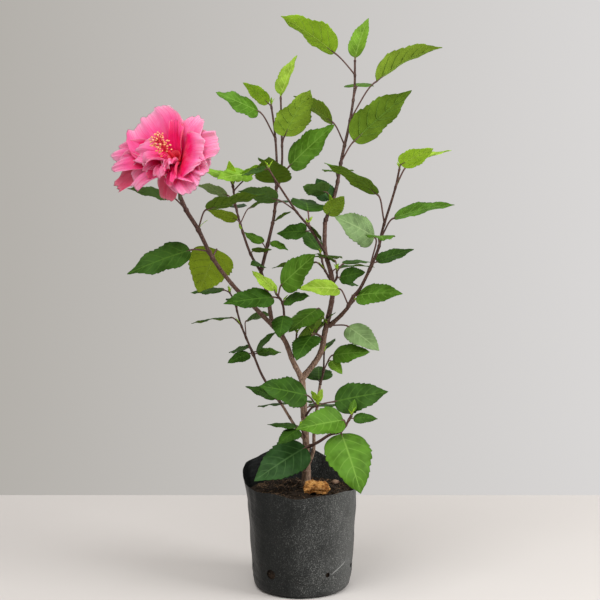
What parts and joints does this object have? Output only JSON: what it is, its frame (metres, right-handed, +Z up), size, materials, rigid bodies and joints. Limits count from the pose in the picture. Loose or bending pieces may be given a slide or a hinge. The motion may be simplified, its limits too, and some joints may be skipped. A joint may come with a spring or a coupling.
{
  "type": "potted hibiscus shrub",
  "caption": "Young double-flowered hibiscus shrub with an open, upright crown of toothed leaves and a ruffled bloom, growing in a soft film grow bag that stands on the floor.",
  "frame": {"origin": "centre of the bag's flat underside, on the surface it stands on", "axes": "+Z up along the plant, +X to the plant's right as seen from the front, +Y to its back"},
  "size_m": [0.3428, 0.2427, 0.6087],
  "materials": {
    "grow_bag_film": "dusty black polythene film with pale vertical scuffs",
    "potting_soil": "dark crumbly potting mix with fibres",
    "husk_chip": "rough fibrous coir husk",
    "trunk_bark": "tan bark with fine lengthwise cracks and leaf scars",
    "bough_bark": "dark red-brown young bark with pale specks",
    "bloom_petals": "thin ruffled petals, pale pink with a deep pink throat",
    "foliage": "satin green leaves, yellow-green where young, on red-brown stalks"
  },
  "bodies": {
    "root": {"grow_bag": "grow_bag_film", "potting_soil": "potting_soil", "husk_chip": "husk_chip", "trunk": "trunk_bark", "left_bough": "bough_bark", "right_leader": "bough_bark", "middle_bough": "bough_bark", "right_bough": "bough_bark", "low_left_stem": "bough_bark", "slender_stem": "bough_bark", "bloom": "bloom_petals", "flowering_spray": "foliage", "left_spray": "foliage", "middle_spray": "foliage", "cross_spray": "foliage", "centre_spray": "foliage", "heart_spray": "foliage", "inner_left_spray": "foliage", "inner_right_spray": "foliage", "top_spray": "foliage", "right_spray": "foliage", "outer_right_spray": "foliage", "slender_spray": "foliage", "low_left_spray": "foliage", "low_twig_spray": "foliage", "low_front_spray": "foliage", "back_spray": "foliage", "low_back_spray": "foliage", "foot_spray": "foliage"}
  },
  "joints": []
}
